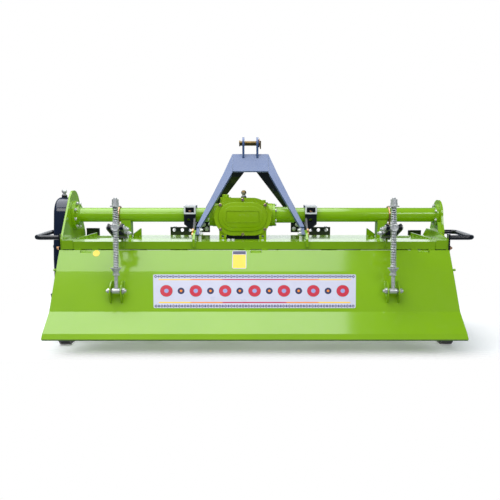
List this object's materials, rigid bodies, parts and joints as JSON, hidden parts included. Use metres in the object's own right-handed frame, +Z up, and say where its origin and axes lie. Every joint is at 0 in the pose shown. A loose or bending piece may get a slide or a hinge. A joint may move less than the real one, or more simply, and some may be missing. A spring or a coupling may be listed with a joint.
{
  "type": "mounted rotary tiller",
  "caption": "Tractor-mounted rotary tiller: folded deck over a bladed rotor, main tube with gearbox and side drive, hitch mast, skids and a sprung trailing board",
  "frame": {"origin": "centre of the bounding box at ground level, under the skids", "axes": "+X to the right seen from behind, +Y forward towards the tractor, +Z up"},
  "size_m": [2.23, 0.87, 1.05],
  "materials": {
    "green_paint": "gloss lime green paint",
    "grey_paint": "gloss slate grey paint",
    "black_paint": "gloss black paint",
    "zinc": "bright zinc plating",
    "blade_steel": "forged blade steel, blue-grey"
  },
  "bodies": {
    "frame": {"deck": "green_paint", "rear_beam": "green_paint", "front_beam": "green_paint", "side_plate_left": "green_paint", "side_plate_right": "green_paint", "deck_braces": "green_paint", "main_tube_left": "green_paint", "main_tube_right": "green_paint", "gearbox_housing": "green_paint", "gearbox_cover": "green_paint", "input_hub": "green_paint", "mast_ribs": "green_paint", "rod_ribs": "green_paint", "rotor_bearing_left": "green_paint", "rotor_bearing_right": "green_paint", "hinge_knuckles": "green_paint", "mast_head": "grey_paint", "mast_rear_leg_left": "grey_paint", "mast_rear_leg_right": "grey_paint", "clevis_ear_left": "grey_paint", "clevis_ear_right": "grey_paint", "front_plates": "black_paint", "side_drive_case": "black_paint", "gearbox_base": "black_paint", "mast_front_leg_left": "black_paint", "mast_front_leg_right": "black_paint", "hitch_bracket_left": "black_paint", "hitch_bracket_right": "black_paint", "hitch_bar_left": "black_paint", "hitch_bar_right": "black_paint", "rod_forks": "black_paint", "side_guard_left": "black_paint", "side_guard_right": "black_paint", "skid_left": "black_paint", "skid_right": "black_paint", "side_drive_breather": "zinc", "gearbox_breather": "zinc", "top_link_pin": "zinc", "hitch_pin_left": "zinc", "hitch_pin_right": "zinc", "u_bolts": "zinc", "hinge_pins": "zinc"},
    "rotor": {"rotor_shaft": "green_paint", "rotor_flanges": "green_paint", "rotor_blades_a": "blade_steel", "rotor_blades_b": "blade_steel"},
    "input": {"input_shaft": "zinc"},
    "board": {"trailing_board": "green_paint", "board_end_plates": "green_paint", "board_lugs": "green_paint", "board_knuckles": "green_paint"},
    "trunnion_l": {"trunnion_left": "zinc", "upper_spring_left": "zinc", "lower_spring_left": "zinc"},
    "trunnion_r": {"trunnion_right": "zinc", "upper_spring_right": "zinc", "lower_spring_right": "zinc"},
    "rod_l": {"spring_rod_left": "zinc"},
    "rod_r": {"spring_rod_right": "zinc"}
  },
  "joints": [
    {"name": "rotor_spin", "type": "hinge", "parent": "frame", "child": "rotor", "pos_m": [0, 0.123, 0.238], "axis": [-1, 0, 0], "continuous": true},
    {"name": "input_spin", "type": "hinge", "parent": "frame", "child": "input", "pos_m": [-0.02, 0.243, 0.632], "axis": [0, 1, 0], "continuous": true},
    {"name": "board_hinge", "type": "hinge", "parent": "frame", "child": "board", "pos_m": [0, -0.102, 0.466], "axis": [-1, 0, 0], "range_deg": [0, 20]},
    {"name": "trunnion_swing_left", "type": "hinge", "parent": "frame", "child": "trunnion_l", "pos_m": [-0.66, -0.252, 0.603], "axis": [-1, 0, 0], "range_deg": [0, 12.5]},
    {"name": "rod_slide_left", "type": "slide", "parent": "trunnion_l", "child": "rod_l", "axis": [0, 0.0926, 0.9957], "range_m": [0, 0.0615], "deforming": ["lower_spring_left"]},
    {"name": "trunnion_swing_right", "type": "hinge", "parent": "frame", "child": "trunnion_r", "pos_m": [0.66, -0.252, 0.603], "axis": [-1, 0, 0], "range_deg": [0, 12.5]},
    {"name": "rod_slide_right", "type": "slide", "parent": "trunnion_r", "child": "rod_r", "axis": [0, 0.0926, 0.9957], "range_m": [0, 0.0615], "deforming": ["lower_spring_right"]}
  ],
  "couplings": [
    {"joint": "input_spin", "follows": "rotor_spin", "ratio": 2.54},
    {"joint": "trunnion_swing_left", "follows": "board_hinge", "ratio": 0.6187},
    {"joint": "rod_slide_left", "follows": "board_hinge", "m_per_rad": 0.1739},
    {"joint": "trunnion_swing_right", "follows": "board_hinge", "ratio": 0.6187},
    {"joint": "rod_slide_right", "follows": "board_hinge", "m_per_rad": 0.1739}
  ]
}
